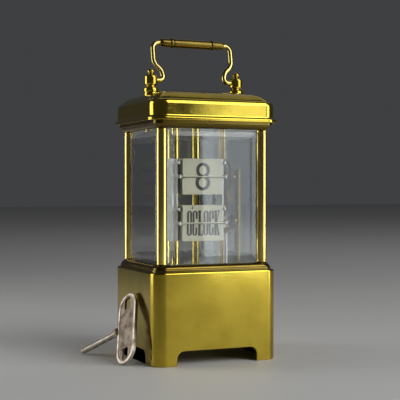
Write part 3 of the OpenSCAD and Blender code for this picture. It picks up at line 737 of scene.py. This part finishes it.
def makeLeaves():
    following = {"hour": ("9", 14.6, 0.9), "minute": ("01", 13.0, 0.75)}
    for which, shown in (("hour", figureEight), ("minute", clockWord)):
        z = leaf[which]
        for half in ("upper", "lower"):
            upper = half == "upper"
            node, front = which + "_leaf_" + half, leaf[half + "Front"]
            bm = cardHalf(z, front, upper)
            if upper:
                addPin(bm, z)
            standFor(which + "Leaf" + half.title(), bm, node)
            mark = halfMark(shown(), upper, 0.25 if upper else 0.6)
            finished(which + "Mark" + half.title(), mark, node, printedInk, place=placeMark(front, z))
            if upper:
                makeFollowing(which, *following[which])


makeLeaves()
print("leaves made")

key = {  # a flat winding key that leans on the base
    "at": (-41.75, -9.3, 17.85),
    "turn": (21.2, 23.3, 109.2),
    "long": 39.0,
    "wide": 15.5,
    "edge": 2.0,
    "rim": 1.7,
    "recess": 0.4,
    "slot": (5.0, 6.2, 1.3),  # width, height, corner
    "slotIn": 5.6,
    "length": 33.5,
    "square": 2.0,
    "squareDeep": 3.5,
}


def keyPlace(axis):
    tip, tilt, spin = (radians(turn) for turn in key["turn"])
    return (Matrix.Translation(key["at"]) @ Matrix.Rotation(spin, 4, "Z")
            @ Matrix.Rotation(tilt, 4, "Y") @ Matrix.Rotation(tip, 4, "X")
            @ Matrix.Rotation(pi / 2, 4, axis))


def slotCutter(y):
    bm = bmesh.new()
    face = roundedFace(bm, *key["slot"], -3, 6)
    raised = bmesh.ops.extrude_face_region(bm, geom=[face])["geom"]
    bmesh.ops.translate(bm, vec=(0, 0, 6), verts=pointsOf(raised))
    bmesh.ops.translate(bm, vec=(0, y, 0), verts=bm.verts)
    return bm


def squareCutter(end):
    bm = bmesh.new()
    bmesh.ops.create_cube(bm, size=1)
    size = (key["square"], key["square"], 2 * key["squareDeep"])
    bmesh.ops.scale(bm, vec=size, verts=bm.verts)
    bmesh.ops.translate(bm, vec=(0, 0, end + 1), verts=bm.verts)
    return bm


def makeBow():
    wide, long, rim = key["wide"], key["long"], key["rim"]
    half = key["edge"] / 2
    flat = half - key["recess"]
    bm = moulding(wide - 0.8, long - 0.8, wide / 2 - 0.42, [(0, -flat), (0, flat)], 14)
    slotY = long / 2 - key["slotIn"]
    cut(bm, slotCutter(slotY), slotCutter(-slotY))
    border = moulding(wide, long, wide / 2 - 0.02, [
        (0.45, -half), (0.12, -half + 0.12), (0, -half + 0.4), (0, half - 0.4),
        (0.12, half - 0.12), (0.45, half), (rim - 0.45, half), (rim - 0.12, half - 0.12),
        (rim, half - 0.35), (rim, 0.35 - half), (rim - 0.12, 0.12 - half),
        (rim - 0.45, -half)], 14, closed=True)
    for face in border.faces:
        face.material_index = 1  # bare nickel
    merged(bm, border)
    standFor("keyBow", bm, "key_bow", keyWorn, keyNickel, place=keyPlace("X"))


def makePipe():
    start = key["wide"] / 2
    end = start + key["length"]
    profile = [
        (0, start - 0.6), (2.3, start - 0.6), (2.55, start - 0.3), (2.6, start + 0.1),
        (2.6, start + 1.9), (2.45, start + 2.15), (2.1, start + 2.25), (1.6, start + 2.4),
        (1.35, start + 2.9), (1.4, start + 3.3), (1.55, start + 3.5), (1.55, end - 1.9),
        (1.5, end - 1.7), (1.55, end - 1.5), (1.55, end - 0.2), (1.4, end), (0, end)]
    bm = turned(bmesh.new(), profile, steps=40)
    cut(bm, squareCutter(end - key["squareDeep"]))
    standFor("keyPipe", bm, "key_pipe", place=keyPlace("Y"))


makeBow()
makePipe()
print("key made")

stage = {
    "size": 4.0,
    "floor": (0.62, 0.62, 0.62),
    "floorPatch": (0.66, 0.66, 0.655),
    "backdrop": (0.05, 0.051, 0.053),
}


def makeStage():
    bm = bmesh.new()
    bmesh.ops.create_grid(bm, x_segments=1, y_segments=1, size=stage["size"])
    mesh = bpy.data.meshes.new("floor")
    bm.to_mesh(mesh)
    bm.free()
    floor = bpy.data.objects.new("floor", mesh)
    scene.collection.objects.link(floor)
    finish = Finish("paleFloor", Roughness=0.55)
    patch = finish.noise(finish.spot(), 0.3)
    finish.set("Base Color", finish.mix(patch, stage["floor"], stage["floorPatch"]))
    mesh.materials.append(finish.material)
    world = bpy.data.worlds.new("studio")
    scene.world = world
    world.use_nodes = True
    background = world.node_tree.nodes["Background"]
    background.inputs[0].default_value = (*stage["backdrop"], 1)
    background.inputs[1].default_value = 1.0
    scene.view_settings.view_transform = "Standard"


cool, plain, warm = (0.88, 0.94, 1.0), (1.0, 1.0, 1.0), (1.0, 0.99, 0.97)
softBoxes = (  # name, where it stands, what it faces, width, height, power, colour
    ("frontRight", (0.266, -0.45, 0.172), (0.02, -0.03, 0.11), 0.14, 0.34, 0.30, cool),
    ("right", (0.41, -0.30, 0.172), (0.01, 0, 0.1), 0.16, 0.34, 0.60, plain),
    ("left", (-0.38, 0.207, 0.172), (0.01, 0, 0.1), 0.28, 0.34, 0.85, warm),
    ("key", (0.9, -1.35, 1.15), (0, 0, 0.06), 1.3, 1.3, 18.0, warm),
    ("above", (0.55, 0.65, 1.2), (0, 0, 0.1), 1.0, 1.0, 0.9, plain),
)


def makeLights():
    for name, where, target, width, height, power, colour in softBoxes:
        lamp = bpy.data.lights.new(name, "AREA")
        lamp.shape, lamp.size, lamp.size_y = "RECTANGLE", width, height
        lamp.energy, lamp.color = power, colour
        box = bpy.data.objects.new(name, lamp)
        box.location = where
        aim = Vector(target) - Vector(where)
        box.rotation_euler = aim.to_track_quat("-Z", "Y").to_euler()
        scene.collection.objects.link(box)


viewpoint = {"at": (-0.20986, -0.50978, 0.09124), "down": 0.756, "turn": -23.63, "lens": 92.25}


def makeCamera():
    view = bpy.data.cameras.new("camera")
    view.lens, view.sensor_width = viewpoint["lens"], 36.0
    view.clip_start, view.clip_end = 0.02, 30.0
    camera = bpy.data.objects.new("camera", view)
    camera.location = viewpoint["at"]
    camera.rotation_euler = (radians(90 - viewpoint["down"]), 0, radians(viewpoint["turn"]))
    scene.collection.objects.link(camera)
    scene.camera = camera


makeStage()
makeLights()
makeCamera()
print("stage, lights and camera set")
